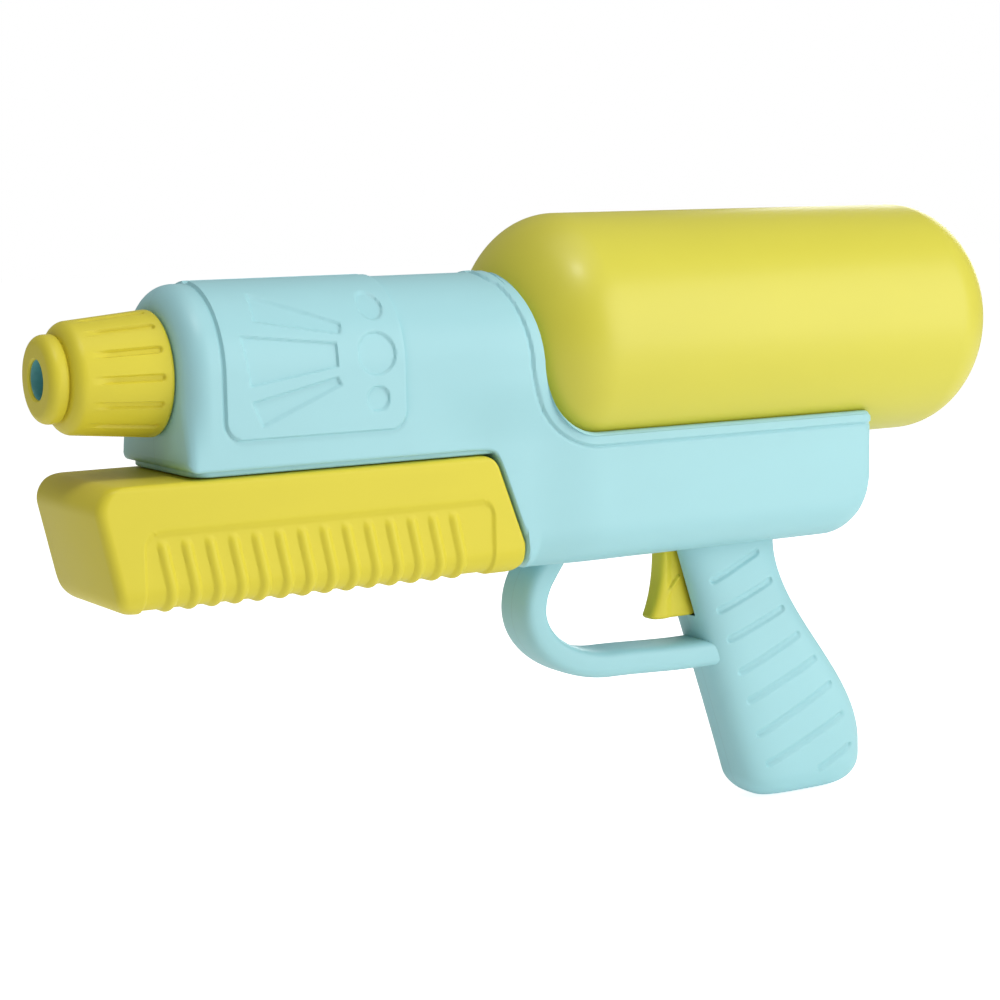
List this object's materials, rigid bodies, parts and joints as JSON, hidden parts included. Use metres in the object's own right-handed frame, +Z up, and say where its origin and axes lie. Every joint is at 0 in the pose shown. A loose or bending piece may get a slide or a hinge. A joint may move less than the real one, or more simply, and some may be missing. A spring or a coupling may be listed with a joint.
{
  "type": "pump-action water squirter",
  "caption": "A toy water squirter with a two-half aqua body, a screw-on yellow tank, a sliding pump handle, a sprung trigger valve and a fluted screw cap round its nozzle.",
  "frame": {"origin": "centre of the nozzle outlet, on its front face", "axes": "+X is the way the water leaves, +Y is the left side of the squirter and +Z is up, away from the grip"},
  "size_m": [0.38, 0.087, 0.2245],
  "materials": {
    "body_aqua": "satin moulded plastic",
    "moulded_yellow": "satin moulded plastic",
    "tank_yellow": "blown plastic, soft gloss",
    "insert_teal": "satin moulded plastic",
    "inner_white": "natural moulded plastic",
    "inner_grey": "satin moulded plastic",
    "hose_clear": "milky soft tubing",
    "seal_rubber": "matt rubber",
    "screw_steel": "bright zinc-plated steel"
  },
  "bodies": {
    "body": {"left_shell": "body_aqua", "right_shell": "body_aqua", "shell_screws": "screw_steel", "jet_disc": "insert_teal", "spout": "inner_white", "tank_socket": "inner_white", "feed_tube": "hose_clear", "pump_cylinder": "inner_white", "cylinder_gland": "inner_grey", "cylinder_end": "inner_grey", "check_ball": "screw_steel", "trigger_pin": "screw_steel", "valve_housing": "inner_white", "valve_spring": "screw_steel", "valve_plug": "inner_grey", "water_hose": "hose_clear", "jet_hose": "hose_clear", "air_hose": "hose_clear"},
    "pump": {"pump_handle": "moulded_yellow", "handle_slide": "body_aqua", "handle_screws": "screw_steel", "pump_rod": "inner_white", "rod_pin": "screw_steel", "piston": "inner_grey", "piston_seal": "seal_rubber"},
    "trigger": {"trigger": "moulded_yellow"},
    "valve": {"valve_pin": "inner_grey", "valve_seal": "seal_rubber"},
    "cap_turn": {"nozzle_seal": "seal_rubber"},
    "cap": {"nozzle_cap": "moulded_yellow"},
    "tank_turn": {"tank_seal": "seal_rubber"},
    "tank": {"tank": "tank_yellow"}
  },
  "joints": [
    {"name": "pump_stroke", "type": "slide", "parent": "body", "child": "pump", "axis": [1, 0, 0], "range_m": [0, 0.045]},
    {"name": "trigger_pull", "type": "hinge", "parent": "body", "child": "trigger", "pos_m": [-0.246, 0, -0.065], "axis": [0, 1, 0], "range_deg": [0, 14], "stiffness_Nm_per_rad": 0.6, "springref_deg": -5.73},
    {"name": "valve_push", "type": "slide", "parent": "body", "child": "valve", "axis": [-1, 0, 0], "range_m": [0, 0.0058], "deforming": ["valve_spring"]},
    {"name": "cap_turn", "type": "hinge", "parent": "body", "child": "cap_turn", "pos_m": [0, 0, 0], "axis": [1, 0, 0], "range_deg": [0, 360]},
    {"name": "cap_travel", "type": "slide", "parent": "cap_turn", "child": "cap", "axis": [1, 0, 0], "range_m": [0, 0.003]},
    {"name": "tank_turn", "type": "hinge", "parent": "body", "child": "tank_turn", "pos_m": [-0.143, 0, 0.0048], "axis": [1, 0, 0], "range_deg": [0, 720]},
    {"name": "tank_travel", "type": "slide", "parent": "tank_turn", "child": "tank", "axis": [-1, 0, 0], "range_m": [0, 0.008]}
  ],
  "couplings": [
    {"joint": "valve_push", "follows": "trigger_pull", "m_per_rad": 0.0235},
    {"joint": "cap_travel", "follows": "cap_turn", "m_per_rad": 0.000477},
    {"joint": "tank_travel", "follows": "tank_turn", "m_per_rad": 0.000636}
  ]
}
